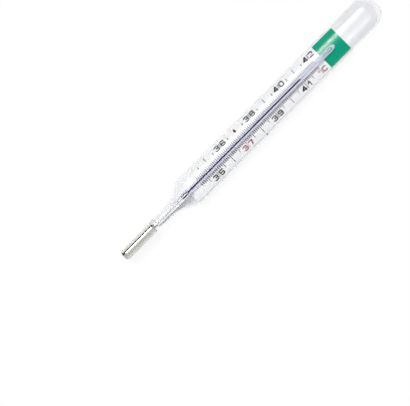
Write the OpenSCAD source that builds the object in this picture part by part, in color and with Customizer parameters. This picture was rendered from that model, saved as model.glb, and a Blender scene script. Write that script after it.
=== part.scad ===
// Enclosed-scale clinical thermometer, lying on its back with the scale facing up.
// Millimetres. +X runs from the bulb to the sealed end, +Y across the scale, +Z up.
// The origin lies on the resting surface, below the middle of the tube's length.

/* [Bulb] */
// Outer diameter of the bulb
bulb_d = 4.0; // [3.4:0.1:4.2]
// Length of the bulb from its tip to the weld collar
bulb_len = 15; // [12:0.5:18]
// Glass wall of the bulb
bulb_wall = 0.35; // [0.25:0.05:0.5]
// Glass at the bulb's tip, which carries the constriction pin
bulb_tip_wall = 0.6; // [0.4:0.1:1]
// Rounding of the bulb's tip
bulb_tip_r = 1.3; // [0.8:0.1:1.6]
// Length of the taper where the bulb narrows to the stem bore
bulb_taper_len = 1.2; // [0.8:0.1:2]
// Diameter of the weld collar above the bulb
collar_d = 4.5; // [4.4:0.1:5]
// Length of the weld collar
collar_len = 1.6; // [1:0.1:2.4]

/* [Outer tube] */
// Width of the oval tube, across the scale
tube_w = 12; // [11:0.1:13]
// Thickness of the oval tube, front to back
tube_t = 9; // [8:0.1:10]
// Rise of the front and back faces above the round sides
tube_crown = 0.9; // [0.7:0.1:1.2]
// Glass wall of the oval tube
tube_wall = 0.5; // [0.4:0.05:0.8]
// Outer diameter of the neck where it is welded to the collar
neck_d = 4.3; // [4.1:0.1:4.5]
// Outer diameter of the neck where the shoulder begins
neck_top_d = 4.9; // [4.6:0.1:5.6]
// Glass wall of the neck
neck_wall = 0.6; // [0.5:0.05:0.8]
// Length of the neck
neck_len = 7; // [5:0.5:10]
// Length of the shoulder between the neck and the oval tube
shoulder_len = 9.8; // [8:0.2:12]
// Empty tube beyond the end of the scale plate
clear_end = 17.5; // [12:0.5:22]
// Straight stretch in the middle of the sealed end
cap_flat = 1.2; // [0.4:0.2:3]
// Glass at the sealed end
dome_wall = 1.5; // [1:0.1:2]

/* [Capillary] */
// Diameter of the capillary's round front
capillary_w = 2.2; // [1.8:0.1:2.6]
// Distance of the capillary's flat back from the bore's axis
capillary_back = 0.7; // [0.65:0.05:0.85]
// Bore that holds the indicating thread
bore_d = 0.4; // [0.3:0.02:0.5]
// Outer diameter of the stem between the bulb and the capillary
stem_d = 2.1; // [1.8:0.1:2.3]
// Bore of the stem
stem_bore_d = 1.0; // [0.8:0.05:1.2]
// Length of the constriction chamber
chamber_len = 2.6; // [2:0.1:3.4]
// Diameter of the constriction chamber at its middle
chamber_d = 1.1; // [1:0.05:1.2]
// Diameter of the glass pin that narrows the chamber
pin_d = 0.42; // [0.36:0.02:0.6]
// Distance from the chamber's end to the end of the shoulder
chamber_setback = 1.2; // [0.8:0.1:2]
// Capillary length beyond the start of the colour band
capillary_over = 6.3; // [4:0.1:7]
// Length of the expansion space at the top of the capillary
expansion_len = 1.8; // [1:0.1:2.4]
// Diameter of the expansion space
expansion_d = 0.8; // [0.6:0.05:1]
// Glass between the expansion space and the capillary's tip
expansion_cover = 1.4; // [1.2:0.1:2]

/* [Liquid metal] */
// Reading of the thread in degrees Celsius, for the pose as built
reading = 41; // [38:0.1:42]
// Gap between the thread and its bore
thread_clearance = 0.03; // [0.02:0.005:0.06]
// Gap between the filling and the glass that holds it
fill_clearance = 0.02; // [0.01:0.005:0.03]
// Length of the thread's moving end
thread_end_len = 4; // [3:0.5:6]

/* [Scale plate] */
// Thickness of the plate
plate_t = 0.4; // [0.3:0.05:0.6]
// Gap between the plate's edges and the tube
plate_clearance = 0.05; // [0.03:0.01:0.1]
// How far the plate reaches back into the shoulder
plate_tuck = 1.0; // [0.4:0.1:1.2]
// Corner chamfer of the plate
plate_chamfer = 0.2; // [0.1:0.05:0.6]
// Blank plate between the last mark and the colour band
band_lead = 3.4; // [3:0.1:4]
// Length of the colour band
band_len = 9.8; // [8:0.1:12]
// Thickness of the printing
ink_t = 0.04; // [0.02:0.01:0.06]
// Gap between the printing and the capillary's flat back
ink_clearance = 0.02; // [0.01:0.01:0.05]

/* [Graduation] */
// Length of one degree Celsius on the scale
degree_pitch = 7.4; // [6.5:0.1:8]
// Distance from the end of the shoulder to the 35 degree mark
scale_offset = 11.1; // [9.5:0.1:14]
// Width of the tenth-degree lines
minor_line = 0.28; // [0.15:0.01:0.32]
// Width of the half-degree and degree lines
major_line = 0.22; // [0.12:0.01:0.26]
// Lower lines start this far below the centre line
lower_start = 0.35; // [0.25:0.05:1.1]
// Gap between the lower tenth-degree lines and the lower numerals
lower_line_gap = 0.33; // [0.15:0.03:0.75]
// How much longer the lower half-degree lines are than the tenth-degree lines
half_extra = 1.1; // [0.6:0.1:1.5]
// Upper tenth-degree lines start this far above the centre line
upper_start = 0.25; // [0.2:0.05:0.6]
// Gap between the upper tenth-degree lines and the upper numerals
upper_line_gap = 0.57; // [0.3:0.03:0.75]
// Rise of the upper degree and half-degree marks above the foot of the numerals
upper_mark_rise = 0.28; // [0:0.04:0.4]
// Length of the upper half-degree marks
upper_half_len = 0.85; // [0.5:0.05:1.2]
// Diameter of the red dot at normal body temperature
dot_d = 1.05; // [0.8:0.05:1.3]

/* [Numerals] */
// Height of the numerals
numeral_h = 1.96; // [1.7:0.02:2.1]
// Width of each digit
numeral_w = 2.0; // [1.7:0.05:2.1]
// Stroke of the digits
numeral_stroke = 0.42; // [0.24:0.02:0.44]
// Gap between a digit and the degree line beside it
numeral_gap = 0.42; // [0.3:0.02:0.5]
// Bare plate between the upper numerals and the plate's edge
upper_margin = 0.68; // [0.3:0.02:0.9]
// Bare plate between the lower numerals and the plate's edge
lower_margin = 0.78; // [0.3:0.02:0.8]

/* [Datum mark] */
// Temperature that the fired mark on the tube stands at
datum_reading = 38; // [36:1:40]
// Width of the fired mark
datum_w = 0.3; // [0.2:0.02:0.4]
// Where the mark starts, inward from the tube's side
datum_inset = 0.12; // [0.1:0.02:0.3]
// Reach of the mark across the tube, seen from the front
datum_reach = 0.8; // [0.5:0.05:1.2]
// Thickness of the fired enamel
datum_t = 0.05; // [0.03:0.01:0.08]

/* [Hidden] */
$fn = 64;

// Lowest and highest graduation in tenths of a degree, and the numbered range
first_tenth = 341;
last_tenth = 420;
low_degree = 35;
high_degree = 42;
normal_degree = 37;

// Stations along the axis, measured from the bulb's tip
collar_s = bulb_len;
neck_s = collar_s + collar_len;
shoulder_s = neck_s + neck_len;
body_s = shoulder_s + shoulder_len;
plate_s = body_s - plate_tuck;
low_s = body_s + scale_offset;
high_s = low_s + (high_degree - low_degree) * degree_pitch;
band_s = high_s + band_lead;
plate_end_s = band_s + band_len;
end_s = plate_end_s + clear_end;
chamber_end_s = body_s - chamber_setback;
chamber_s = chamber_end_s - chamber_len;
capillary_end_s = band_s + capillary_over;
thread_s = chamber_end_s + 2 * thread_clearance;

// Place of the axis in the part's own frame
axis_x = -end_s / 2;
axis_z = tube_t / 2;

// Oval section made of four tangent arcs: round sides and crowned faces
side_r = tube_t / 2 - tube_crown;
side_y = tube_w / 2 - side_r;
crown_r = (pow(side_y, 2) + pow(tube_t / 2, 2) - pow(side_r, 2)) / (2 * tube_crown);
crown_z = crown_r - tube_t / 2;

// Length of the rounded sealed end
dome_len = (tube_w - cap_flat) / 2;

// The turned envelope overshoots the oval, so that the two surfaces cross cleanly
overshoot = 0.12;
cut = 1;

// Heights of the stacked pieces, from the axis
ink_top_z = -capillary_back - ink_clearance;
plate_top_z = ink_top_z - ink_t;
plate_low_z = plate_top_z - plate_t;
plate_half_w = side_y + sqrt(pow(side_r - tube_wall, 2) - pow(plate_low_z, 2)) - plate_clearance;

// Rows of the printing, as distances from the centre line
upper_foot = plate_half_w - upper_margin - numeral_h;
upper_minor_reach = upper_foot - upper_line_gap;
upper_mark_start = upper_foot + upper_mark_rise;
lower_foot = plate_half_w - lower_margin;
lower_minor_reach = lower_foot - numeral_h - lower_line_gap;
lower_half_reach = lower_minor_reach + half_extra;

// Shares of a digit's size: rounding of its corners, height of its end strokes, and the place of its stem
digit_round = 0.3 * numeral_w;
digit_inner_round = 0.05;
digit_end = 0.27 * numeral_h;
digit_bar = (numeral_h + numeral_stroke) / 2;
stem_of_one = 0.5 * numeral_w;
stem_of_four = 0.62 * numeral_w;
foot_of_seven = 0.42 * numeral_w;
degree_ring_d = 0.4 * numeral_h;

// Radii of the liquid path
bulb_bore_r = bulb_d / 2 - bulb_wall;
stem_bore_r = stem_bore_d / 2;
bore_r = bore_d / 2;
thread_r = bore_r - thread_clearance;
chamber_steps = 12;
curve_steps = 16;
corner_steps = 5;

// Blunt tip of the constriction pin, inside the chamber
pin_tip_len = 0.7;
pin_tip_r = 0.08;
pin_stop = 0.35;

function smooth(u) = u * u * (3 - 2 * u);
function blend(a, b, u) = a + (b - a) * u;
function degree_s(t) = low_s + (t - low_degree) * degree_pitch;
function degree_x(t) = axis_x + degree_s(t);
function is_odd(t) = t % 2 != 0;
function has_red_sign(t) = t == normal_degree || t == high_degree;

// Children are drawn with x across the scale, y up from the axis and z along the axis from a station
module on_axis(s) {
    translate([axis_x + s, 0, axis_z]) rotate([90, 0, 90]) children();
}

// Children are flat outlines, printed on the plate with x along the scale and y across it
module print_at(s, y = 0) {
    translate([axis_x + s, y, axis_z + plate_top_z]) linear_extrude(ink_t) children();
}

// One printed line across the scale, between two distances from the centre line
module scale_line(t, from, to, line) {
    low = min(from, to);
    print_at(degree_s(t)) translate([-line / 2, low]) square([line, abs(to - from)]);
}

// Oval section, drawn inset from the outer surface
module oval(inset) {
    r = side_r - inset;
    big_r = crown_r - inset;
    tangent_y = side_y * (1 + r / (crown_r - side_r));
    for (side = [-1, 1]) translate([side * side_y, 0]) circle(r);
    intersection() {
        translate([0, -crown_z]) circle(big_r, $fn = 180);
        translate([0, crown_z]) circle(big_r, $fn = 180);
        square([2 * tangent_y, tube_t], center = true);
    }
}

// Curve of the shoulder, as pairs of a distance from its axis and a station
function shoulder_curve(neck_r, body_r) = [for (i = [0:curve_steps]) let (u = i / curve_steps)
    [blend(neck_r, body_r, smooth(u)), blend(shoulder_s, body_s, u)]];

// Solid of revolution through a list of points, between two stations
module turned(points, from_s, to_s) {
    last_r = points[len(points) - 1][0];
    on_axis(0) rotate_extrude($fn = 128)
        polygon(concat([[0, from_s], [points[0][0], from_s]], points, [[last_r, to_s], [0, to_s]]));
}

// Outer part of the oval, which is swept round the sealed end
module cap_profile(inset) {
    intersection() {
        translate([-cap_flat / 2, 0]) oval(inset);
        translate([0, -tube_t]) square(2 * tube_t);
    }
}

module end_cap(inset, s) {
    translate([axis_x + s, 0, axis_z]) {
        for (side = [0, 1]) mirror([0, side, 0])
            translate([0, cap_flat / 2, 0]) rotate_extrude(angle = 90) cap_profile(inset);
        rotate([90, 0, 0]) linear_extrude(cap_flat, center = true) cap_profile(inset);
    }
}

// Neck, shoulder, body and sealed end as a solid of the tube's outer or inner shape
module envelope(neck_inset, body_inset, start_s, stop_s) {
    low_r = neck_d / 2 - neck_inset;
    top_r = neck_top_d / 2 - neck_inset;
    cap_s = stop_s - (dome_len - body_inset);
    front = shoulder_curve(top_r, tube_w / 2 - body_inset + overshoot);
    crown = shoulder_curve(crown_z + top_r + overshoot, crown_r - body_inset + overshoot);
    intersection() {
        turned(concat([[low_r, neck_s]], front), start_s, cap_s + cut);
        translate([0, 0, crown_z]) turned(crown, start_s - cut, cap_s + cut);
        translate([0, 0, -crown_z]) turned(crown, start_s - cut, cap_s + cut);
        on_axis(start_s - cut) linear_extrude(cap_s - start_s + cut) oval(body_inset);
    }
    end_cap(body_inset, cap_s);
}

// Inside of the glass that the liquid fills: bulb, stem bore, chamber and thread bore
module liquid_path(gap, from_s, to_s) {
    wide = bulb_bore_r - gap;
    stem = stem_bore_r - gap;
    fine = bore_r - gap;
    tip = bulb_tip_r - bulb_wall;
    swell = (chamber_d - stem_bore_d / 2 - bore_d / 2) / 2;
    floor_corner = [for (i = [0:corner_steps])
        let (a = -90 + 90 * i / corner_steps)
            [wide - tip + tip * cos(a), bulb_tip_wall + gap + tip + tip * sin(a)]];
    chamber = [for (i = [0:chamber_steps])
        let (u = i / chamber_steps)
            [blend(stem, fine, smooth(u)) + swell * sin(180 * u), blend(chamber_s, chamber_end_s, u)]];
    intersection() {
        on_axis(0) rotate_extrude() polygon(concat(
            [[0, bulb_tip_wall + gap]], floor_corner,
            [[wide, collar_s - bulb_taper_len / 2], [stem, collar_s + bulb_taper_len / 2]],
            chamber, [[fine, capillary_end_s - expansion_cover], [0, capillary_end_s - expansion_cover]]));
        on_axis(from_s) cylinder(h = to_s - from_s, d = 2 * bulb_d);
    }
}

module outer_tube() {
    color("lightcyan", 0.35) difference() {
        envelope(0, 0, neck_s, end_s);
        envelope(neck_wall, tube_wall, neck_s - cut, end_s - dome_wall);
    }
}

// Fired line on the outside of the tube, in step with one degree line, which shows if the plate has slipped
module datum_mark() {
    color("dimgray") intersection() {
        on_axis(degree_s(datum_reading) - datum_w / 2) linear_extrude(datum_w) difference() {
            oval(-datum_t);
            oval(0);
        }
        translate([degree_x(datum_reading) - datum_w, -tube_w / 2 + datum_inset, axis_z])
            cube([2 * datum_w, datum_reach, tube_t]);
    }
}

module bulb_glass() {
    r = bulb_d / 2;
    tip = [for (i = [0:corner_steps * 2])
        let (a = -90 + 45 * i / corner_steps)
            [r - bulb_tip_r + bulb_tip_r * cos(a), bulb_tip_r + bulb_tip_r * sin(a)]];
    color("lightcyan", 0.35) difference() {
        on_axis(0) rotate_extrude() polygon(concat(
            [[0, 0]], tip, [[r, collar_s], [collar_d / 2, collar_s + (collar_d / 2 - r)],
            [collar_d / 2, neck_s], [0, neck_s]]));
        liquid_path(0, 0, neck_s + cut);
    }
}

// Pin with a tapered top, grown by a gap all round
module pin_shape(gap, from_s) {
    top_s = chamber_end_s - pin_stop + gap;
    r = pin_d / 2 + gap;
    on_axis(0) rotate_extrude() polygon([
        [0, from_s], [r, from_s], [r, top_s - pin_tip_len], [pin_tip_r + gap, top_s], [0, top_s]]);
}

// Filling below the constriction, with room for the pin that stands in it
module bulb_metal() {
    color("silver") difference() {
        liquid_path(fill_clearance, 0, chamber_end_s);
        pin_shape(fill_clearance, 0);
    }
}

// Glass pin that stands on the bulb's floor and reaches into the chamber, where the thread breaks on cooling
module constriction_pin() {
    color("azure", 0.6) pin_shape(0, bulb_tip_wall);
}

module capillary_stem() {
    color("azure", 0.4) on_axis(neck_s) difference() {
        cylinder(h = chamber_s - neck_s, d = stem_d);
        translate([0, 0, -cut]) cylinder(h = chamber_s - neck_s + 2 * cut, d = stem_bore_d);
    }
}

// Round-fronted capillary with a flat back, a rounded tip and an expansion space above the thread bore
module capillary_tube() {
    r = capillary_w / 2;
    full_r = r + overshoot;
    length = capillary_end_s - chamber_s;
    tip = [for (i = [0:curve_steps])
        let (a = 90 * i / curve_steps) [full_r * cos(a), length - capillary_w * (1 - sin(a))]];
    color("lavender", 0.5) difference() {
        intersection() {
            on_axis(chamber_s) linear_extrude(length) intersection() {
                circle(r);
                translate([-capillary_w, -capillary_back]) square(2 * capillary_w);
            }
            on_axis(chamber_s) rotate_extrude() polygon(concat([[0, -cut], [full_r, -cut]], tip));
        }
        liquid_path(0, chamber_s - cut, capillary_end_s);
        on_axis(capillary_end_s - expansion_cover - expansion_len)
            cylinder(h = expansion_len, d = expansion_d);
    }
}

module thread_column() {
    color("midnightblue") on_axis(thread_s)
        cylinder(h = degree_s(reading) - thread_end_len - thread_s, r = thread_r);
}

// Upper end of the thread with its meniscus: the reading is taken at its top
module thread_end() {
    color("midnightblue") on_axis(degree_s(reading) - thread_end_len) {
        cylinder(h = thread_end_len - thread_r, r = thread_r);
        translate([0, 0, thread_end_len - thread_r]) sphere(thread_r);
    }
}

module scale_plate() {
    length = plate_end_s - plate_s;
    w = plate_half_w;
    c = plate_chamfer;
    color("white") translate([axis_x + plate_s, 0, axis_z + plate_low_z]) linear_extrude(plate_t) polygon([
        [0, -w + c], [c, -w], [length - c, -w], [length, -w + c],
        [length, w - c], [length - c, w], [c, w], [0, w - c]]);
}

// Printed colour field at the top of the plate
module colour_band() {
    w = plate_half_w;
    c = plate_chamfer;
    color("mediumseagreen") print_at(band_s) polygon([
        [0, -w], [band_len - c, -w], [band_len, -w + c], [band_len, w - c], [band_len - c, w], [0, w]]);
}

module lower_tenth_lines() {
    color("black") for (tenth = [first_tenth:last_tenth]) if (tenth % 5 != 0)
        scale_line(tenth / 10, -lower_start, -lower_minor_reach, minor_line);
}

module upper_tenth_lines() {
    color("black") for (tenth = [first_tenth:last_tenth])
        scale_line(tenth / 10, upper_start, upper_minor_reach, minor_line);
}

module half_degree_lines() {
    color("black") for (tenth = [first_tenth:last_tenth]) if (tenth % 10 == 5)
        scale_line(tenth / 10, -lower_start, -lower_half_reach, major_line);
}

// Lines of the whole degrees. Where the sign beside one is red, the rest of its line is red too
module degree_lines() {
    color("black") for (t = [low_degree:high_degree])
        scale_line(t, -lower_start, has_red_sign(t) ? -lower_minor_reach : -lower_foot, major_line);
}

// Short marks between the upper numerals, and the lines that stand between their digits
module upper_marks() {
    color("black") for (t = [low_degree:high_degree]) {
        if (t != normal_degree)
            scale_line(t, is_odd(t) ? upper_mark_start : upper_foot, upper_foot + numeral_h, major_line);
        scale_line(t - 0.5, upper_mark_start, upper_mark_start + upper_half_len, minor_line);
    }
}

// Lower part of a degree line that stands beside a red sign
module red_line(t) {
    scale_line(t, -lower_minor_reach, -lower_foot, major_line);
}

function corner(x, y, r, from) = [for (i = [0:corner_steps])
    let (a = from + 90 * i / corner_steps) [x + r * cos(a), y + r * sin(a)]];
function rounded_box(w, h, r) = concat(
    corner(w - r, h - r, r, 0), corner(r, h - r, r, 90), corner(r, r, r, 180), corner(w - r, r, r, 270));

// Closed stroke around a rounded box, the base of the round digits
module bowl(h) {
    w = numeral_w;
    t = numeral_stroke;
    r = min(digit_round, h / 2 - digit_inner_round);
    difference() {
        polygon(rounded_box(w, h, r));
        translate([t, t]) polygon(rounded_box(w - 2 * t, h - 2 * t, max(r - t, digit_inner_round)));
    }
}

// Two bowls that share their middle bar
module double_bowl() {
    bowl(digit_bar);
    translate([0, numeral_h - digit_bar]) bowl(digit_bar);
}

// Wide digit, drawn from its lower left corner
module digit(d) {
    w = numeral_w;
    h = numeral_h;
    t = numeral_stroke;
    bar = h - digit_bar;
    if (d == 0) bowl(h);
    if (d == 1) {
        translate([stem_of_one, 0]) square([t, h]);
        polygon([[stem_of_one + t, h], [stem_of_one, h], [t / 3, h - 1.5 * t], [t / 3, h - 2.5 * t],
            [stem_of_one + t, h - t]]);
    }
    if (d == 2) {
        difference() {
            translate([0, bar]) bowl(digit_bar);
            translate([-cut, bar]) square([w - t + cut, digit_bar - digit_end]);
            translate([-cut, bar - cut]) square([w + 2 * cut, t + cut]);
        }
        polygon([[w - t, bar + t], [w, bar + t], [w, bar + 0.6 * t], [1.4 * t, t], [w, t], [w, 0],
            [0, 0], [0, 0.9 * t], [w - 1.2 * t, bar + 0.4 * t]]);
    }
    if (d == 3) difference() {
        double_bowl();
        translate([-cut, digit_end]) square([w / 3 + cut, h - 2 * digit_end]);
    }
    if (d == 4) {
        translate([stem_of_four, 0]) square([t, h]);
        translate([0, t]) square([w, t]);
        polygon([[0, t], [0, 2 * t], [stem_of_four - 0.2 * t, h], [stem_of_four + t / 2, h],
            [stem_of_four + t / 2, h - t], [1.3 * t, t]]);
    }
    if (d == 5) {
        translate([0, h - t]) square([w, t]);
        translate([0, bar]) square([t, h - bar]);
        difference() {
            bowl(digit_bar);
            translate([-cut, digit_end]) square([t + cut, bar - digit_end]);
        }
    }
    if (d == 6) {
        bowl(digit_bar);
        difference() {
            bowl(h);
            translate([w / 2, bar]) square([w, h - digit_end - bar]);
        }
    }
    if (d == 7) {
        translate([0, h - t]) square([w, t]);
        polygon([[w - 1.3 * t, h - t / 2], [w, h - t / 2], [w, h - t], [foot_of_seven + t, 0],
            [foot_of_seven - 0.2 * t, 0]]);
    }
    if (d == 8) double_bowl();
    if (d == 9) translate([w, h]) rotate(180) digit(6);
}

// Two digits that stand either side of their degree line
module numeral(t, foot_y) {
    print_at(degree_s(t), foot_y) {
        translate([-numeral_gap - numeral_w, 0]) digit(floor(t / 10));
        translate([numeral_gap, 0]) digit(t % 10);
    }
}

module upper_numerals() {
    color("black") for (t = [low_degree:high_degree]) if (!is_odd(t)) numeral(t, upper_foot);
}

module lower_numerals() {
    color("black") for (t = [low_degree:high_degree])
        if (is_odd(t) && t != normal_degree) numeral(t, -lower_foot);
}

module red_numeral() {
    color("firebrick") {
        numeral(normal_degree, -lower_foot);
        red_line(normal_degree);
    }
}

// Degree sign and C beside the last degree line
module unit_sign() {
    color("firebrick") {
        red_line(high_degree);
        print_at(high_s, -lower_foot) {
            translate([-numeral_gap - degree_ring_d / 2, numeral_h - degree_ring_d / 2]) difference() {
                circle(d = degree_ring_d);
                circle(d = degree_ring_d - numeral_stroke);
            }
            translate([numeral_gap, 0]) difference() {
                bowl(numeral_h);
                translate([numeral_w / 2, digit_end]) square([numeral_w, numeral_h - 2 * digit_end]);
            }
        }
    }
}

// Red dot on a thin line at normal body temperature
module normal_dot() {
    color("firebrick") print_at(degree_s(normal_degree), upper_foot + numeral_h / 2) {
        circle(d = dot_d);
        translate([-major_line / 2, -numeral_h / 2]) square([major_line, numeral_h]);
    }
}

outer_tube();
datum_mark();
bulb_glass();
bulb_metal();
constriction_pin();
capillary_stem();
capillary_tube();
thread_column();
thread_end();
scale_plate();
colour_band();
lower_tenth_lines();
upper_tenth_lines();
half_degree_lines();
degree_lines();
upper_marks();
upper_numerals();
lower_numerals();
red_numeral();
unit_sign();
normal_dot();
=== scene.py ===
import math

import bmesh
import bpy
from mathutils import Matrix, Vector


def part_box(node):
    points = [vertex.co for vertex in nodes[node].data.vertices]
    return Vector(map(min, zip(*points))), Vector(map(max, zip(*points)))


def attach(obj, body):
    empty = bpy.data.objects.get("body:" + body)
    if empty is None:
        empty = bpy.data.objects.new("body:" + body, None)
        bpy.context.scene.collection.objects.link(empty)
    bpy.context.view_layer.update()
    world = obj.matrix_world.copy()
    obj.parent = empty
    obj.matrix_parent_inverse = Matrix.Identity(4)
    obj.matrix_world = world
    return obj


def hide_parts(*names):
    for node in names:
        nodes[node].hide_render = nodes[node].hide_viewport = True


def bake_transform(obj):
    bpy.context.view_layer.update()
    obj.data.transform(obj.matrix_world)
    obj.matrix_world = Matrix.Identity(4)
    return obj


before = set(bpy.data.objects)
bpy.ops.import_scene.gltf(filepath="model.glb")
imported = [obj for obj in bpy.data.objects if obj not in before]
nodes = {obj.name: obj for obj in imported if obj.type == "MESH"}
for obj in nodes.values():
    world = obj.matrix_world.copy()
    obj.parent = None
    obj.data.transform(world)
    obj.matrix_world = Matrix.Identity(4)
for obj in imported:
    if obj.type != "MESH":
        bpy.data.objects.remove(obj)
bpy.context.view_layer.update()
scene = bpy.context.scene
mm = 0.001
print("frame loaded:", len(nodes), "nodes")

# where the frame has things, everything below is placed from these
tubeLow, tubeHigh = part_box("outer_tube")
bulbLow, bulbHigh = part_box("bulb_glass")
stemLow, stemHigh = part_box("capillary_stem")
capillaryLow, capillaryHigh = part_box("capillary_tube")
pinLow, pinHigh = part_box("constriction_pin")
columnLow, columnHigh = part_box("thread_column")
tipLow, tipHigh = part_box("thread_end")
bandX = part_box("colour_band")[0].x
axisZ = (columnLow.z + columnHigh.z) / 2
boreGap = 0.03 * mm  # the metal fills its bore in the glass
threadRadius = columnHigh.y + boreGap
weldGap = 0.004 * mm  # keeps welded glass faces from lying in one another
contact = 0.006 * mm  # the filling reaches this far into its glass, so no air shows between


# materials

bumpDepth = 0.01 * mm
noiseSpan = (0.3, 0.7)  # where a noise field has most of its values
rampReach = 4  # mm to either side of the middle line that a ramp covers
trappedAfter = 1.5  # reflections in the glass after which light is let out


def startMaterial(name):
    material = bpy.data.materials.new(name)
    material.use_nodes = True
    tree = material.node_tree
    tree.nodes.clear()
    output = tree.nodes.new("ShaderNodeOutputMaterial")
    return material, tree, output


def surfaceNoise(tree, scale, stretch=(1, 1, 1), detail=3):
    place = tree.nodes.new("ShaderNodeTexCoord")
    mapping = tree.nodes.new("ShaderNodeMapping")
    mapping.inputs["Scale"].default_value = stretch
    noise = tree.nodes.new("ShaderNodeTexNoise")
    noise.inputs["Scale"].default_value = scale
    noise.inputs["Detail"].default_value = detail
    tree.links.new(place.outputs["Object"], mapping.inputs["Vector"])
    tree.links.new(mapping.outputs["Vector"], noise.inputs["Vector"])
    return noise.outputs["Fac"]


def spreadOver(tree, field, low, high):
    spread = tree.nodes.new("ShaderNodeMapRange")
    spread.inputs["From Min"].default_value = noiseSpan[0]
    spread.inputs["From Max"].default_value = noiseSpan[1]
    spread.inputs["To Min"].default_value = low
    spread.inputs["To Max"].default_value = high
    tree.links.new(field, spread.inputs["Value"])
    return spread.outputs["Result"]


# colours along a field, each stop is a place and a colour
def rampOver(tree, field, stops):
    ramp = tree.nodes.new("ShaderNodeValToRGB")
    elements = ramp.color_ramp.elements
    while len(elements) < len(stops):
        elements.new(0.5)
    for element, (place, colour) in zip(elements, stops):
        element.position = place
        element.color = (*colour, 1)
    tree.links.new(field, ramp.inputs["Fac"])
    return ramp.outputs["Color"]


def greyStops(stops):
    return [(place, [level] * 3) for place, level in stops]


def betweenColours(tree, field, first, second):
    return rampOver(tree, field, list(zip(noiseSpan, (first, second))))


# place along one axis of the object, low and high in mm
def axisSpan(tree, axis, low, high):
    place = tree.nodes.new("ShaderNodeTexCoord")
    split = tree.nodes.new("ShaderNodeSeparateXYZ")
    span = tree.nodes.new("ShaderNodeMapRange")
    span.inputs["From Min"].default_value = low * mm
    span.inputs["From Max"].default_value = high * mm
    tree.links.new(place.outputs["Object"], split.inputs["Vector"])
    tree.links.new(split.outputs[axis], span.inputs["Value"])
    return span


# colours by the distance in mm from the middle line
def acrossRamp(tree, stops):
    across = axisSpan(tree, "Y", -rampReach, rampReach)
    placed = [(0.5 + y / (2 * rampReach), colour) for y, colour in stops]
    return rampOver(tree, across.outputs["Result"], placed)


def addBump(tree, field, shader, strength):
    bump = tree.nodes.new("ShaderNodeBump")
    bump.inputs["Strength"].default_value = strength
    bump.inputs["Distance"].default_value = bumpDepth
    tree.links.new(field, bump.inputs["Height"])
    tree.links.new(bump.outputs["Normal"], shader.inputs["Normal"])


def mixShaders(tree, share, first, second):
    mix = tree.nodes.new("ShaderNodeMixShader")
    tree.links.new(share, mix.inputs["Fac"])
    tree.links.new(first, mix.inputs[1])
    tree.links.new(second, mix.inputs[2])
    return mix.outputs["Shader"]


# lamp rays and bounced light pass straight through, so what the glass encloses is lit,
# and light that ran round inside the glass gets out
def letLightThrough(tree, shader, look):
    path = tree.nodes.new("ShaderNodeLightPath")
    clear = tree.nodes.new("ShaderNodeBsdfTransparent")
    # where a ramp across the rod is given, it dims the light by place and paints the rod's shadow
    if "paintedShadowTint" in look:
        tree.links.new(acrossRamp(tree, look["paintedShadowTint"]), clear.inputs["Color"])
    else:
        clear.inputs["Color"].default_value = (*look["shade"], 1)
    trapped = tree.nodes.new("ShaderNodeMath")
    trapped.operation = "GREATER_THAN"
    trapped.inputs[1].default_value = trappedAfter
    tree.links.new(path.outputs["Glossy Depth"], trapped.inputs[0])
    escape = mixShaders(tree, trapped.outputs["Value"], shader.outputs["BSDF"], clear.outputs["BSDF"])
    last = mixShaders(tree, path.outputs["Is Glossy Ray"], shader.outputs["BSDF"], escape)
    for ray in ("Is Shadow Ray", "Is Diffuse Ray"):
        last = mixShaders(tree, path.outputs[ray], last, clear.outputs["BSDF"])
    return last


# painted shade: greyer by the distance from the middle line, or on the faces that look away from the lamps
def shadeColour(tree, colour, look):
    if "edge" in look:
        shade = acrossRamp(tree, greyStops(look["edge"]))
    elif "far" in look:
        place = tree.nodes.new("ShaderNodeTexCoord")
        turned = tree.nodes.new("ShaderNodeVectorMath")
        turned.operation = "DOT_PRODUCT"
        turned.inputs[1].default_value = look["away"]
        tree.links.new(place.outputs["Normal"], turned.inputs[0])
        shade = rampOver(tree, turned.outputs["Value"], greyStops(look["far"]))
    else:
        return colour
    mix = tree.nodes.new("ShaderNodeMix")
    mix.data_type = "RGBA"
    mix.blend_type = "MULTIPLY"
    mix.inputs["Factor"].default_value = 1
    tree.links.new(colour, mix.inputs["A"])
    tree.links.new(shade, mix.inputs["B"])
    return mix.outputs["Result"]


# glass, greyer where it is seen slantwise: partly the longer way the light has through it, partly painted
# shade for grey bands along the curved sides
def glassShader(tree, look):
    shader = tree.nodes.new("ShaderNodeBsdfPrincipled")
    shader.inputs["Transmission Weight"].default_value = 1
    shader.inputs["IOR"].default_value = look["ior"]
    shader.inputs["Specular Tint"].default_value = (*[look["shine"]] * 3, 1)
    if "gloss" in look:
        weight, spread = look["gloss"]
        shader.inputs["Coat Weight"].default_value = weight
        shader.inputs["Coat Roughness"].default_value = spread
    slant = tree.nodes.new("ShaderNodeLayerWeight")
    stops = [(place, [level * part for part in look["tint"]]) for place, level in look["slant"]]
    tint = rampOver(tree, slant.outputs["Facing"], stops)
    tree.links.new(shadeColour(tree, tint, look), shader.inputs["Base Color"])
    drawn = surfaceNoise(tree, look["streaks"], look["stretch"])
    tree.links.new(spreadOver(tree, drawn, 0, look["smear"]), shader.inputs["Roughness"])
    addBump(tree, drawn, shader, look["wave"])
    return shader


def glassMaterial(name, look):
    material, tree, output = startMaterial(name)
    shader = glassShader(tree, look)
    tree.links.new(letLightThrough(tree, shader, look), output.inputs["Surface"])
    return material


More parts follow.
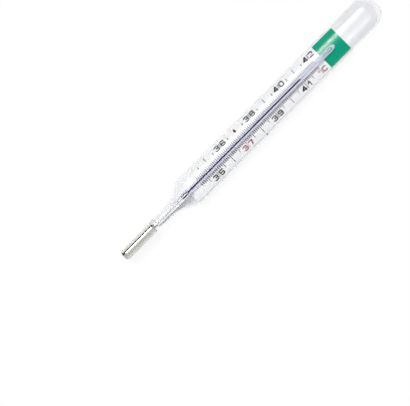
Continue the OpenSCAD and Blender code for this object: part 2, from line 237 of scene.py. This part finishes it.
# milky stripe fused into the capillary's flat back, thin over the scale and denser over the green field
def opalMaterial(name, look, clearLook):
    material, tree, output = startMaterial(name)
    milk = tree.nodes.new("ShaderNodeBsdfPrincipled")
    milk.inputs["Roughness"].default_value = look["roughness"]
    milk.inputs["Specular IOR Level"].default_value = look["shine"]
    mottle = surfaceNoise(tree, look["mottle"])
    tree.links.new(betweenColours(tree, mottle, *look["colour"]), milk.inputs["Base Color"])
    along = axisSpan(tree, "X", bandX / mm - look["coverFade"], bandX / mm)
    along.inputs["To Min"].default_value, along.inputs["To Max"].default_value = look["cover"]
    cover = tree.nodes.new("ShaderNodeMath")
    cover.operation = "MULTIPLY"
    tree.links.new(along.outputs["Result"], cover.inputs[0])
    tree.links.new(spreadOver(tree, mottle, *look["uneven"]), cover.inputs[1])
    clear = letLightThrough(tree, glassShader(tree, clearLook), look)
    stripe = mixShaders(tree, cover.outputs["Value"], clear, milk.outputs["BSDF"])
    tree.links.new(stripe, output.inputs["Surface"])
    return material


# liquid metal, its mirror share and tone go by the distance in mm from the middle line; on the bulb this
# paints its reflection bands
def metalMaterial(name, look):
    material, tree, output = startMaterial(name)
    shader = tree.nodes.new("ShaderNodeBsdfPrincipled")
    shader.inputs["Specular IOR Level"].default_value = look["shine"]
    film = surfaceNoise(tree, look["grain"])
    tree.links.new(acrossRamp(tree, greyStops(look["metallic"])), shader.inputs["Metallic"])
    colour = betweenColours(tree, film, look["dark"], look["light"])
    tree.links.new(shadeColour(tree, colour, look), shader.inputs["Base Color"])
    tree.links.new(spreadOver(tree, film, *look["roughness"]), shader.inputs["Roughness"])
    tree.links.new(shader.outputs["BSDF"], output.inputs["Surface"])
    return material


# paint, print and enamel: mottled colour, uneven gloss and a fine skin
def coatMaterial(name, look):
    material, tree, output = startMaterial(name)
    shader = tree.nodes.new("ShaderNodeBsdfPrincipled")
    shader.inputs["Specular IOR Level"].default_value = look["shine"]
    mottle = surfaceNoise(tree, look["mottle"])
    skin = surfaceNoise(tree, look["skin"], detail=4)
    tree.links.new(betweenColours(tree, mottle, look["dark"], look["light"]), shader.inputs["Base Color"])
    tree.links.new(spreadOver(tree, skin, *look["roughness"]), shader.inputs["Roughness"])
    addBump(tree, skin, shader, look["relief"])
    tree.links.new(shader.outputs["BSDF"], output.inputs["Surface"])
    return material


# painted shade: the dip in the slant stops greys the tube where its sides are seen at a slant
wallLook = {"tint": (0.985, 0.99, 1.0), "ior": 1.48, "shine": 0.0, "streaks": 30, "stretch": (4, 30, 30),
            "slant": [(0, 0.985), (0.05, 0.98), (0.13, 0.95), (0.3, 0.95), (0.5, 0.965), (1, 0.98)],
            "smear": 0.006, "wave": 0.001, "shade": (0.985, 0.985, 0.99)}
# painted shade: the tube glass is greyer on the faces that look away from the lamps
tubeLook = {**wallLook, "gloss": (1.0, 0.25), "away": (-0.5, -0.85, 0), "far": [(0.35, 1), (0.7, 0.88)]}
# painted shade: a dark band along the lower side of the neck and shoulder, where the stem's shadow on the
# floor shows through the glass
neckLook = {**wallLook, "edge": [(-3.2, 1), (-2.4, 0.79), (-2.1, 0.66), (-1.6, 0.58), (-1.25, 0.48),
                                 (-1.0, 1)]}
# painted shade: the deeper dip in the slant stops paints grey bands along the sides of the clear end
backLook = {**wallLook, "tint": (0.92, 0.925, 0.935), "gloss": (0.14, 0.25),
            "slant": [(0, 0.985), (0.07, 0.98), (0.115, 0.88), (0.15, 0.9), (0.2, 0.97), (1, 0.98)]}
bulbLook = {"tint": (0.98, 0.98, 0.97), "ior": 1.5, "shine": 0.8, "streaks": 60, "stretch": (4, 30, 30),
            "slant": [(0, 0.98), (0.5, 0.93), (1, 0.9)], "smear": 0.01, "wave": 0.01,
            "shade": (0.92, 0.92, 0.92)}
capillaryLook = {"tint": (0.955, 0.945, 1.0), "ior": 1.5, "shine": 0.25, "streaks": 60,
                 "stretch": (4, 30, 30), "slant": [(0, 0.97), (1, 0.95)], "smear": 0.01, "wave": 0.01,
                 # painted shadow: lamp light through the capillary's lower flank is dimmed, which paints
                 # the rod's shadow beside it and the darker haze below the thread
                 "paintedShadowTint": [(-0.9, (0.42, 0.42, 0.5)), (-0.45, (0.8, 0.79, 0.92)), (-0.1, (0.94, 0.94, 0.97))]}
opalLook = {"colour": ((0.8, 0.9, 0.92), (0.88, 0.97, 0.98)), "cover": (0.2, 0.72), "coverFade": 2.7,
            "mottle": 900, "uneven": (0.9, 1.1), "roughness": 0.5, "shine": 0.1, "shade": (1, 1, 1)}
# painted shade: the stem glass is darker along its lower edge, where a glass rod shows a dark rim
stemLook = {"tint": (0.98, 0.98, 1.0), "ior": 1.5, "shine": 0.0, "streaks": 60, "stretch": (4, 30, 30),
            "slant": [(0, 0.99), (1, 0.95)], "smear": 0.01, "wave": 0.01, "shade": (0.95, 0.95, 0.96),
            "edge": [(-1.1, 0.5), (-0.8, 1)]}
pinLook = {"dark": (0.9, 0.9, 0.91), "light": (0.95, 0.95, 0.96), "mottle": 2000, "skin": 9000,
           "roughness": (0.2, 0.35), "relief": 0.05, "shine": 0.4}
# painted reflection and shade: across the bulb the mirror share is low on the lower side, and the tone is
# darker on the lower half, dimmed where the softbox shows and near black in a band above it for the dark
# reflection line
fillingLook = {"metallic": [(-1.15, 0.7), (-0.6, 0.1), (-0.1, 0.1), (0.15, 0.9), (1.65, 0.95)],
               "edge": [(-1.0, 1), (-0.55, 0.7), (-0.1, 0.7), (0.05, 1), (0.25, 0.3), (0.5, 0.3),
                        (0.58, 0.05), (0.88, 0.05), (1.05, 1)],
               "dark": (0.76, 0.76, 0.72), "light": (0.86, 0.86, 0.82), "grain": 700,
               "roughness": (0.04, 0.08), "shine": 0.5}
threadLook = {"metallic": [(-1, 0.15), (1, 0.15)], "dark": (0.01, 0.008, 0.04),
              "light": (0.02, 0.016, 0.07), "grain": 700, "roughness": (0.45, 0.6), "shine": 0.1}
plateLook = {"dark": (0.92, 0.92, 0.925), "light": (0.96, 0.96, 0.96), "mottle": 260, "skin": 6000,
             "roughness": (0.35, 0.5), "relief": 0.08, "shine": 0.25}
greenLook = {"dark": (0.0, 0.34, 0.19), "light": (0.001, 0.4, 0.225), "mottle": 1500, "skin": 7000,
             "roughness": (0.5, 0.7), "relief": 0.08, "shine": 0.04}
blackLook = {"dark": (0.004, 0.004, 0.006), "light": (0.014, 0.014, 0.018), "mottle": 2500, "skin": 9000,
             "roughness": (0.5, 0.7), "relief": 0.08, "shine": 0.06}
maroonLook = {"dark": (0.11, 0.02, 0.03), "light": (0.15, 0.03, 0.044), "mottle": 2500, "skin": 9000,
              "roughness": (0.5, 0.7), "relief": 0.08, "shine": 0.06}
redLook = {"dark": (0.31, 0.105, 0.12), "light": (0.37, 0.135, 0.15), "mottle": 2500, "skin": 9000,
           "roughness": (0.5, 0.7), "relief": 0.08, "shine": 0.06}
datumLook = {"dark": (0.16, 0.13, 0.11), "light": (0.26, 0.22, 0.19), "mottle": 3000, "skin": 9000,
             "roughness": (0.3, 0.5), "relief": 0.15, "shine": 0.3}

tubeGlass = glassMaterial("tubeGlass", tubeLook)
tubeWall = glassMaterial("tubeWall", wallLook)
neckWall = glassMaterial("neckWall", neckLook)
tubeBack = glassMaterial("tubeBack", backLook)
bulbGlass = glassMaterial("bulbGlass", bulbLook)
capillaryGlass = glassMaterial("capillaryGlass", capillaryLook)
capillaryOpal = opalMaterial("capillaryOpal", opalLook, capillaryLook)
stemGlass = glassMaterial("stemGlass", stemLook)
pinOpal = coatMaterial("pinOpal", pinLook)
fillingMetal = metalMaterial("fillingMetal", fillingLook)
threadMetal = metalMaterial("threadMetal", threadLook)
plateWhite = coatMaterial("plateWhite", plateLook)
bandGreen = coatMaterial("bandGreen", greenLook)
inkBlack = coatMaterial("inkBlack", blackLook)
inkRed = coatMaterial("inkRed", redLook)
inkMaroon = coatMaterial("inkMaroon", maroonLook)
datumEnamel = coatMaterial("datumEnamel", datumLook)
print("materials ready:", len(bpy.data.materials))


# shared mesh steps

mergeGap = 0.0005 * mm  # points nearer than this become one
cornerGap = 0.002 * mm  # how far off a point of a corner may lie


def finishPiece(name, bm, materials, body="thermometer", sharp=40):
    mesh = bpy.data.meshes.new(name)
    bm.to_mesh(mesh)
    bm.free()
    mesh.shade_smooth()
    mesh.set_sharp_from_angle(angle=math.radians(sharp))
    for material in materials:
        mesh.materials.append(material)
    piece = bpy.data.objects.new(name, mesh)
    scene.collection.objects.link(piece)
    if body:
        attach(piece, body)
    return piece


def ringAt(bm, x, radius, segments):
    standing = Matrix.Translation((x, 0, axisZ)) @ Matrix.Rotation(math.radians(90), 4, "Y")
    made = bmesh.ops.create_circle(bm, segments=segments, radius=radius, matrix=standing)
    return list({edge for vert in made["verts"] for edge in vert.link_edges})


# moves a ring to x, radiusAt gives each point's distance from the axis by its angle from straight up
def placeRing(verts, x, radiusAt):
    for vert in verts:
        angle = math.atan2(vert.co.y, vert.co.z - axisZ)
        radius = radiusAt(angle)
        vert.co = (x, radius * math.sin(angle), axisZ + radius * math.cos(angle))


# draws a ring on through a list of (x, radiusAt) stations and gives its last edges
def drawRing(bm, edges, stations):
    for x, radiusAt in stations:
        drawn = bmesh.ops.extrude_edge_only(bm, edges=edges)["geom"]
        edges = [item for item in drawn if isinstance(item, bmesh.types.BMEdge) and item.is_boundary]
        placeRing([item for item in drawn if isinstance(item, bmesh.types.BMVert)], x, radiusAt)
    return edges


def closeRing(bm, edges):
    made = bmesh.ops.edgeloop_fill(bm, edges=edges)["faces"]
    bmesh.ops.poke(bm, faces=made)


# turns an outline of (x, radius) points about the axis
def turnOutline(bm, outline, steps):
    verts = [bm.verts.new((x, 0, axisZ + radius)) for x, radius in outline]
    edges = [bm.edges.new(pair) for pair in zip(verts, verts[1:])]
    bmesh.ops.spin(bm, geom=verts + edges, cent=(0, 0, axisZ), axis=(1, 0, 0),
                   angle=math.tau, steps=steps, use_merge=True)
    bmesh.ops.remove_doubles(bm, verts=bm.verts, dist=mergeGap)
    bmesh.ops.recalc_face_normals(bm, faces=bm.faces)


# rounds the turned corner at one outline point
def roundCorner(bm, x, radius, size, segments=6):
    def onCorner(vert):
        reach = math.hypot(vert.co.y, vert.co.z - axisZ)
        return abs(vert.co.x - x) < cornerGap and abs(reach - radius) < cornerGap

    corner = [edge for edge in bm.edges if all(onCorner(vert) for vert in edge.verts)]
    bmesh.ops.bevel(bm, geom=corner, offset=size, offset_type="OFFSET", affect="EDGES",
                    segments=segments, profile=0.5, material=-1, clamp_overlap=True)


def smoothStep(u):
    return u * u * (3 - 2 * u)


def between(first, second, u):
    return first + (second - first) * u


# oval envelope: round neck, shoulder, oval body and sealed end, drawn outside first and then inside

tube = {"segments": 96, "crown": 0.9 * mm, "neckRadius": (2.15 * mm, 2.45 * mm), "neckLength": 7 * mm,
        "shoulderLength": 9.8 * mm, "wall": 0.5 * mm, "neckWall": 0.6 * mm, "endFlat": 0.6 * mm,
        "endWall": 1.5 * mm, "neckRings": 6, "shoulderRings": 32, "bodyRings": 12, "endRings": 24}
tubeHalfWidth = tubeHigh.y
sideRadius = axisZ - tube["crown"]
sideY = tubeHalfWidth - sideRadius
crownRadius = (sideY ** 2 + axisZ ** 2 - sideRadius ** 2) / (2 * tube["crown"])
crownDrop = crownRadius - axisZ
neckX = tubeLow.x + weldGap
shoulderX = neckX + tube["neckLength"]
bodyX = shoulderX + tube["shoulderLength"]


# four tangent arcs, seen from the axis
def ovalRadius(angle, inset):
    across, up = abs(math.sin(angle)), abs(math.cos(angle))
    turn = math.atan2(sideY, crownDrop)
    reach = crownRadius - inset
    meetY, meetZ = reach * math.sin(turn), reach * math.cos(turn) - crownDrop
    if across * meetZ < up * meetY:
        return math.sqrt(reach ** 2 - (crownDrop * across) ** 2) - crownDrop * up
    return math.sqrt((sideRadius - inset) ** 2 - (sideY * up) ** 2) + sideY * across


def tubeStations(neckInset, inset, endX):
    lowNeck, topNeck = (radius - neckInset for radius in tube["neckRadius"])
    endLength = tubeHalfWidth - inset - tube["endFlat"]
    endStart = endX - endLength

    def neckRing(u):
        return neckX + u * tube["neckLength"], lambda angle: between(lowNeck, topNeck, u)

    def shoulderRing(u):
        share = smoothStep(u)
        return (shoulderX + u * tube["shoulderLength"],
                lambda angle: between(topNeck, ovalRadius(angle, inset), share))

    def bodyRing(u):
        return between(bodyX, endStart, u), lambda angle: ovalRadius(angle, inset)

    def endRing(u):
        turn = u * math.pi / 2
        share = (tube["endFlat"] + endLength * math.cos(turn)) / (tubeHalfWidth - inset)
        return endStart + endLength * math.sin(turn), lambda angle: share * ovalRadius(angle, inset)

    stages = ((neckRing, "neckRings"), (shoulderRing, "shoulderRings"), (bodyRing, "bodyRings"),
              (endRing, "endRings"))
    return [ringOf((i + 1) / tube[count]) for ringOf, count in stages for i in range(tube[count])]


# gloss on the faces that look up, grey with painted shade in the neck and at the back
def glassOf(face, isOutside):
    middle = face.calc_center_median()
    if isOutside and face.normal.z > 0:
        return tubeGlass
    if middle.x < bodyX:
        return tubeWall if isOutside else neckWall
    return tubeWall if middle.z > axisZ else tubeBack


def makeTube():
    bm = bmesh.new()
    mouth = ringAt(bm, neckX, tube["neckRadius"][0], tube["segments"])
    innerMouth = tube["neckRadius"][0] - tube["neckWall"]
    closeRing(bm, drawRing(bm, mouth, tubeStations(0, 0, tubeHigh.x)))
    outside = set(bm.faces)
    inside = tubeStations(tube["neckWall"], tube["wall"], tubeHigh.x - tube["endWall"])
    closeRing(bm, drawRing(bm, mouth, [(neckX, lambda angle: innerMouth)] + inside))
    bmesh.ops.recalc_face_normals(bm, faces=bm.faces)
    glasses = [tubeGlass, tubeWall, neckWall, tubeBack]
    for face in bm.faces:
        face.material_index = glasses.index(glassOf(face, face in outside))
    piece = finishPiece("tubeEnvelope", bm, glasses)
    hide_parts("outer_tube")


makeTube()
print("glass tube made")


# bulb: blown tip, weld collar and the hollow that the filling stands in

bulb = {"radius": 2.0 * mm, "tipRound": 1.3 * mm, "tipSegments": 10, "collarLength": 1.6 * mm,
        "collarRise": 0.3 * mm, "collarRound": 0.25 * mm, "footRound": 0.2 * mm, "rimRound": 0.3 * mm,
        "wall": 0.35 * mm, "tipWall": 0.6 * mm, "taper": 0.6 * mm, "boreRadius": 0.5 * mm,
        "hollowSegments": 8, "steps": 72}
collarX = bulbHigh.x - bulb["collarLength"]
hollowRadius = bulb["radius"] - bulb["wall"]
hollowFloor = bulbLow.x + bulb["tipWall"]
hollowRound = bulb["tipRound"] - bulb["wall"]


def makeBulb():
    bm = bmesh.new()
    outline = [(bulbLow.x, 0), (bulbLow.x, bulb["radius"]), (collarX, bulb["radius"]),
               (collarX + bulb["collarRise"], bulbHigh.y), (bulbHigh.x, bulbHigh.y),
               (bulbHigh.x, bulb["boreRadius"]), (collarX + bulb["taper"], bulb["boreRadius"]),
               (collarX - bulb["taper"], hollowRadius), (hollowFloor, hollowRadius), (hollowFloor, 0)]
    turnOutline(bm, outline, bulb["steps"])
    roundCorner(bm, bulbLow.x, bulb["radius"], bulb["tipRound"], bulb["tipSegments"])
    roundCorner(bm, hollowFloor, hollowRadius, hollowRound, bulb["hollowSegments"])
    roundCorner(bm, collarX + bulb["collarRise"], bulbHigh.y, bulb["collarRound"])
    roundCorner(bm, collarX, bulb["radius"], bulb["footRound"])
    roundCorner(bm, bulbHigh.x, bulbHigh.y, bulb["rimRound"])
    piece = finishPiece("bulbShell", bm, [bulbGlass])
    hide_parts("bulb_glass")


makeBulb()


# filling: the metal in the bulb and stem, and two strands that pass the pin on either side

filling = {"steps": 64, "topRound": 0.3 * mm, "strandRings": 12, "strandSegments": 16,
           "lowRadius": 0.02 * mm, "strandRadius": 0.11 * mm, "strandSpread": 0.32 * mm,
           "strandStraight": 0.3, "swellLength": 0.4 * mm}
swellX = stemHigh.x - filling["swellLength"]


# thin beside the pin in the stem, then wider round its tip and together again at the thread
def addStrand(bm, side):
    startX, endX = collarX + bulb["taper"], columnLow.x + 2 * threadRadius
    near = pinHigh.y + filling["lowRadius"]
    straight = filling["strandStraight"]
    stations = [(startX, near, filling["lowRadius"]), (swellX, near, filling["lowRadius"])]
    for i in range(filling["strandRings"] + 1):
        u = i / filling["strandRings"]
        turn = math.pi / 2 * max(0, u - straight) / (1 - straight)
        offset = filling["strandSpread"] * math.sqrt(math.cos(turn))
        stations.append((between(stemHigh.x, endX, u), offset, filling["strandRadius"]))
    foot = ringAt(bm, startX, filling["lowRadius"], filling["strandSegments"])
    closeRing(bm, foot)
    rings = [(x, lambda angle, radius=radius: radius) for x, offset, radius in stations[1:]]
    closeRing(bm, drawRing(bm, foot, rings))
    return {x: side * offset for x, offset, radius in stations}


def makeFilling():
    bm = bmesh.new()
    wide, narrow = hollowRadius + contact, bulb["boreRadius"] + contact
    floorX, topX = hollowFloor - contact, bulbHigh.x
    outline = [(floorX, 0), (floorX, wide), (collarX - bulb["taper"], wide),
               (collarX + bulb["taper"], narrow), (topX, narrow), (topX, 0)]
    turnOutline(bm, outline, filling["steps"])
    roundCorner(bm, floorX, wide, hollowRound, bulb["hollowSegments"])
    roundCorner(bm, topX, narrow, filling["topRound"])
    for side in (-1, 1):
        before = set(bm.verts)
        offsets = addStrand(bm, side)
        for vert in set(bm.verts) - before:
            vert.co.y += offsets[min(offsets, key=lambda x: abs(x - vert.co.x))]
    for face in bm.faces:
        face.material_index = 1 if face.calc_center_median().x > swellX else 0  # dark in the loop
    bmesh.ops.recalc_face_normals(bm, faces=bm.faces)
    piece = finishPiece("bulbFilling", bm, [fillingMetal, threadMetal])
    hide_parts("bulb_metal")


makeFilling()
print("bulb and filling made")


# stem between the bulb and the capillary, and the pin that stands in it

stem = {"lip": 0.15 * mm, "lipSegments": 4, "steps": 64}
pin = {"tipLength": 0.7 * mm, "tipRadius": 0.08 * mm, "tipRound": 0.06 * mm, "tipSegments": 3, "steps": 32}


def makeStem():
    bm = bmesh.new()
    startX, endX = stemLow.x + weldGap, stemHigh.x - weldGap
    outline = [(startX, 0), (startX, stemHigh.y), (endX, stemHigh.y), (endX, 0)]
    turnOutline(bm, outline, stem["steps"])
    roundCorner(bm, startX, stemHigh.y, stem["lip"], stem["lipSegments"])
    piece = finishPiece("capillaryStem", bm, [stemGlass])
    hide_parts("capillary_stem")


def makePin():
    bm = bmesh.new()
    outline = [(pinLow.x, 0), (pinLow.x, pinHigh.y), (pinHigh.x - pin["tipLength"], pinHigh.y),
               (pinHigh.x, pin["tipRadius"]), (pinHigh.x, 0)]
    turnOutline(bm, outline, pin["steps"])
    roundCorner(bm, pinHigh.x, pin["tipRadius"], pin["tipRound"], pin["tipSegments"])
    piece = finishPiece("constrictionPin", bm, [pinOpal])
    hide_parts("constriction_pin")


makeStem()
makePin()


# capillary over the plate: round front, flat opal back, drawn-out tip, bore and expansion space

capillary = {"tipLength": 2.2 * mm, "tipRings": 14, "segments": 72, "expansionRadius": 0.4 * mm,
             "expansionLength": 1.8 * mm, "expansionCover": 1.4 * mm, "expansionRound": 0.3 * mm,
             "expansionSegments": 4, "boreSteps": 32}


def makeCapillary():
    bm = bmesh.new()
    radius = capillaryHigh.y
    startX, endX = capillaryLow.x + weldGap, capillaryHigh.x
    tipX = endX - capillary["tipLength"]
    stations = [(tipX, lambda angle: radius)]
    for i in range(1, capillary["tipRings"]):
        turn = i / capillary["tipRings"] * math.pi / 2
        stations.append((tipX + capillary["tipLength"] * math.sin(turn),
                         lambda angle, turn=turn: radius * math.cos(turn)))
    mouth = ringAt(bm, startX, radius, capillary["segments"])
    closeRing(bm, drawRing(bm, mouth, stations))
    closeRing(bm, mouth)
    backZ = capillaryLow.z
    cut = bmesh.ops.bisect_plane(bm, geom=bm.verts[:] + bm.edges[:] + bm.faces[:], plane_co=(0, 0, backZ),
                                 plane_no=(0, 0, -1), clear_outer=True)["geom_cut"]
    rim = [item for item in cut if isinstance(item, bmesh.types.BMEdge)]
    back = bmesh.ops.contextual_create(bm, geom=rim)["faces"]
    for face in back:
        face.material_index = 1  # the opal stripe
    bmesh.ops.recalc_face_normals(bm, faces=bm.faces)

    # the bore is a hollow inside, so its faces look the other way
    bore = bmesh.new()
    boreRadius = threadRadius - contact
    expansionEnd = endX - capillary["expansionCover"]
    expansionStart = expansionEnd - capillary["expansionLength"]
    slope = capillary["expansionRadius"]
    outline = [(columnLow.x, 0), (columnLow.x, boreRadius), (expansionStart, boreRadius),
               (expansionStart + slope, capillary["expansionRadius"]),
               (expansionEnd - slope, capillary["expansionRadius"]), (expansionEnd, 0)]
    turnOutline(bore, outline, capillary["boreSteps"])
    roundCorner(bore, expansionEnd - slope, capillary["expansionRadius"], capillary["expansionRound"],
                capillary["expansionSegments"])
    bmesh.ops.reverse_faces(bore, faces=bore.faces)
    boreMesh = bpy.data.meshes.new("bore")
    bore.to_mesh(boreMesh)
    bore.free()
    bm.from_mesh(boreMesh)
    bpy.data.meshes.remove(boreMesh)
    piece = finishPiece("capillaryTube", bm, [capillaryGlass, capillaryOpal])
    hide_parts("capillary_tube")


makeCapillary()
print("stem, pin and capillary made")


# thread: the column, and the end with its meniscus, which goes on the meniscus body

thread = {"steps": 32, "rings": 64, "dome": 0.98}  # dome is the share of the radius that the end rounds


def makeColumn():
    bm = bmesh.new()
    start = columnLow.x
    foot = ringAt(bm, start, threadRadius, thread["steps"])
    length = tipLow.x - weldGap - start
    stations = [(start + length * (i + 1) / thread["rings"], lambda angle: threadRadius)
                for i in range(thread["rings"])]
    closeRing(bm, drawRing(bm, foot, stations))
    closeRing(bm, foot)
    bmesh.ops.recalc_face_normals(bm, faces=bm.faces)
    piece = finishPiece("threadColumn", bm, [threadMetal], body=None)
    piece.visible_shadow = False  # light bends round it in the glass
    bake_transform(piece)
    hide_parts("thread_column")


def makeThreadEnd():
    bm = bmesh.new()
    outline = [(tipLow.x, 0), (tipLow.x, threadRadius), (tipHigh.x, threadRadius), (tipHigh.x, 0)]
    turnOutline(bm, outline, thread["steps"])
    roundCorner(bm, tipHigh.x, threadRadius, thread["dome"] * threadRadius)
    piece = finishPiece("threadEnd", bm, [threadMetal], body="meniscus")
    piece.visible_shadow = False
    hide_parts("thread_end")


makeColumn()
makeThreadEnd()
print("thread made")


# finishes of the pieces that keep their CAD shape

finishes = {
    plateWhite: ["scale_plate"],
    bandGreen: ["colour_band"],
    inkBlack: ["lower_tenth_lines", "upper_tenth_lines", "half_degree_lines", "degree_lines",
               "upper_marks", "upper_numerals", "lower_numerals"],
    inkRed: ["red_numeral", "unit_sign"],
    inkMaroon: ["normal_dot"],
    datumEnamel: ["datum_mark"],
}
for material, names in finishes.items():
    for name in names:
        mesh = nodes[name].data
        mesh.materials.clear()
        mesh.materials.append(material)
print("finishes set on", sum(len(names) for names in finishes.values()), "nodes")


# floor

floor = {"size": 6.0, "cells": 8, "colour": ((0.95, 0.95, 0.955), (0.97, 0.97, 0.97)), "mottle": 6,
         "roughness": 0.8, "shine": 0.1,
         "glow": {"Is Camera Ray": 0.88, "Is Glossy Ray": 0.8, "Is Transmission Ray": 0.3}}


# paper that stays near white where it is looked at, under a faint shadow
def makeFloor():
    bm = bmesh.new()
    bmesh.ops.create_grid(bm, x_segments=floor["cells"], y_segments=floor["cells"], size=floor["size"])
    mesh = bpy.data.meshes.new("floor")
    bm.to_mesh(mesh)
    bm.free()
    material, tree, output = startMaterial("floorPaper")
    paper = tree.nodes.new("ShaderNodeBsdfPrincipled")
    mottle = surfaceNoise(tree, floor["mottle"])
    tree.links.new(betweenColours(tree, mottle, *floor["colour"]), paper.inputs["Base Color"])
    paper.inputs["Roughness"].default_value = floor["roughness"]
    paper.inputs["Specular IOR Level"].default_value = floor["shine"]
    path = tree.nodes.new("ShaderNodeLightPath")
    white = tree.nodes.new("ShaderNodeEmission")
    last = paper.outputs["BSDF"]
    for ray, share in floor["glow"].items():
        part = tree.nodes.new("ShaderNodeMixShader")
        part.inputs["Fac"].default_value = share
        tree.links.new(paper.outputs["BSDF"], part.inputs[1])
        tree.links.new(white.outputs["Emission"], part.inputs[2])
        last = mixShaders(tree, path.outputs[ray], last, part.outputs["Shader"])
    tree.links.new(last, output.inputs["Surface"])
    mesh.materials.append(material)
    piece = bpy.data.objects.new("floor", mesh)
    scene.collection.objects.link(piece)


makeFloor()


# studio: a softbox on the +Y side that fades towards straight up, a broad fill and a dim room

softbox = {"angles": (-5, 40.5), "distance": 6.0, "length": 2.0,
           "radiance": [(-5, 0.05), (0, 0.2), (4.7, 0.5), (9.5, 1.1), (14.3, 2.4), (19, 5), (23.9, 10),
                        (28.8, 18), (33.6, 24), (40.5, 26)]}
fill = {"size": 4.0, "height": 6.0, "radiance": 2.7}


def makeSoftbox(box):
    low, high = (math.radians(angle) for angle in box["angles"])
    turn = (low + high) / 2
    width = 2 * box["distance"] * math.tan((high - low) / 2)
    light = bpy.data.lights.new("softbox", "AREA")
    light.shape = "RECTANGLE"
    light.size = box["length"]
    light.size_y = width
    light.energy = math.pi * box["length"] * width  # makes the strength below a radiance
    light.use_nodes = True
    tree = light.node_tree
    place = tree.nodes.new("ShaderNodeNewGeometry")
    split = tree.nodes.new("ShaderNodeSeparateXYZ")
    peak = max(level for angle, level in box["radiance"])
    stops = []
    for angle, level in box["radiance"]:
        across = box["distance"] * math.tan(math.radians(angle) - turn)
        stops.append((0.5 + across / width, [level / peak] * 3))
    tree.links.new(place.outputs["Parametric"], split.inputs["Vector"])
    glow = tree.nodes["Emission"]
    glow.inputs["Strength"].default_value = peak
    tree.links.new(rampOver(tree, split.outputs["Y"], stops), glow.inputs["Color"])
    lamp = bpy.data.objects.new("softbox", light)
    lamp.location = (0, box["distance"] * math.sin(turn), box["distance"] * math.cos(turn))
    lamp.rotation_euler = (-turn, 0, 0)
    scene.collection.objects.link(lamp)


# broad light from above that only brightens, it leaves no mirror image in the glass
def makeFill():
    light = bpy.data.lights.new("fill", "AREA")
    light.size = fill["size"]
    light.energy = fill["radiance"] * math.pi * fill["size"] ** 2
    lamp = bpy.data.objects.new("fill", light)
    lamp.location = (0, 0, fill["height"])
    lamp.visible_glossy = False
    lamp.visible_transmission = False
    scene.collection.objects.link(lamp)


makeSoftbox(softbox)
makeFill()

# grey level of the room from the horizon up to straight above
roomStripes = [(0, 0.9), (0.1, 0.5), (0.18, 0.2), (0.25, 0.08), (0.73, 0.06), (1, 0.05)]
roomBehind = 0.8  # grey level of the room where it is seen through glass


def makeRoom():
    world = bpy.data.worlds.new("studioRoom")
    scene.world = world
    world.use_nodes = True
    tree = world.node_tree
    place = tree.nodes.new("ShaderNodeTexCoord")
    split = tree.nodes.new("ShaderNodeSeparateXYZ")
    tree.links.new(place.outputs["Generated"], split.inputs["Vector"])
    stripes = rampOver(tree, split.outputs["Z"], greyStops(roomStripes))
    path = tree.nodes.new("ShaderNodeLightPath")
    behind = tree.nodes.new("ShaderNodeMix")
    behind.data_type = "RGBA"
    behind.inputs["B"].default_value = (*[roomBehind] * 3, 1)
    tree.links.new(path.outputs["Is Transmission Ray"], behind.inputs["Factor"])
    tree.links.new(stripes, behind.inputs["A"])
    tree.links.new(behind.outputs["Result"], tree.nodes["Background"].inputs["Color"])


makeRoom()
scene.view_settings.view_transform = "Standard"
print("studio set")


# camera straight above, framed by where the photo shows two readings on the thread's line

view = {"image": (410, 406), "lens": 200.0, "sensor": 36.0,
        "lowPixel": (212.2, 167.8), "highPixel": (300.3, 79.0), "lineWidth": 0.22 * mm,
        "clipEnd": 100}


def makeCamera():
    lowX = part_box("degree_lines")[0].x + view["lineWidth"] / 2
    highX = tipHigh.x
    step = Vector(view["highPixel"]) - Vector(view["lowPixel"])
    scale = step.length / (highX - lowX)
    turn = math.atan2(-step.y, step.x)
    right = Vector((math.cos(turn), -math.sin(turn), 0))
    up = Vector((math.sin(turn), math.cos(turn), 0))
    toCentre = (Vector(view["image"]) / 2 - Vector(view["lowPixel"])) / scale
    centre = Vector((lowX, 0, axisZ)) + toCentre.x * right - toCentre.y * up
    distance = view["image"][0] / scale * view["lens"] / view["sensor"]
    camera = bpy.data.cameras.new("camera")
    camera.lens = view["lens"]
    camera.sensor_width = view["sensor"]
    camera.clip_end = view["clipEnd"]
    holder = bpy.data.objects.new("camera", camera)
    turned = Matrix((right, up, (0, 0, 1))).transposed()
    holder.matrix_world = Matrix.Translation(centre + Vector((0, 0, distance))) @ turned.to_4x4()
    scene.collection.objects.link(holder)
    scene.camera = holder


makeCamera()
print("camera set")
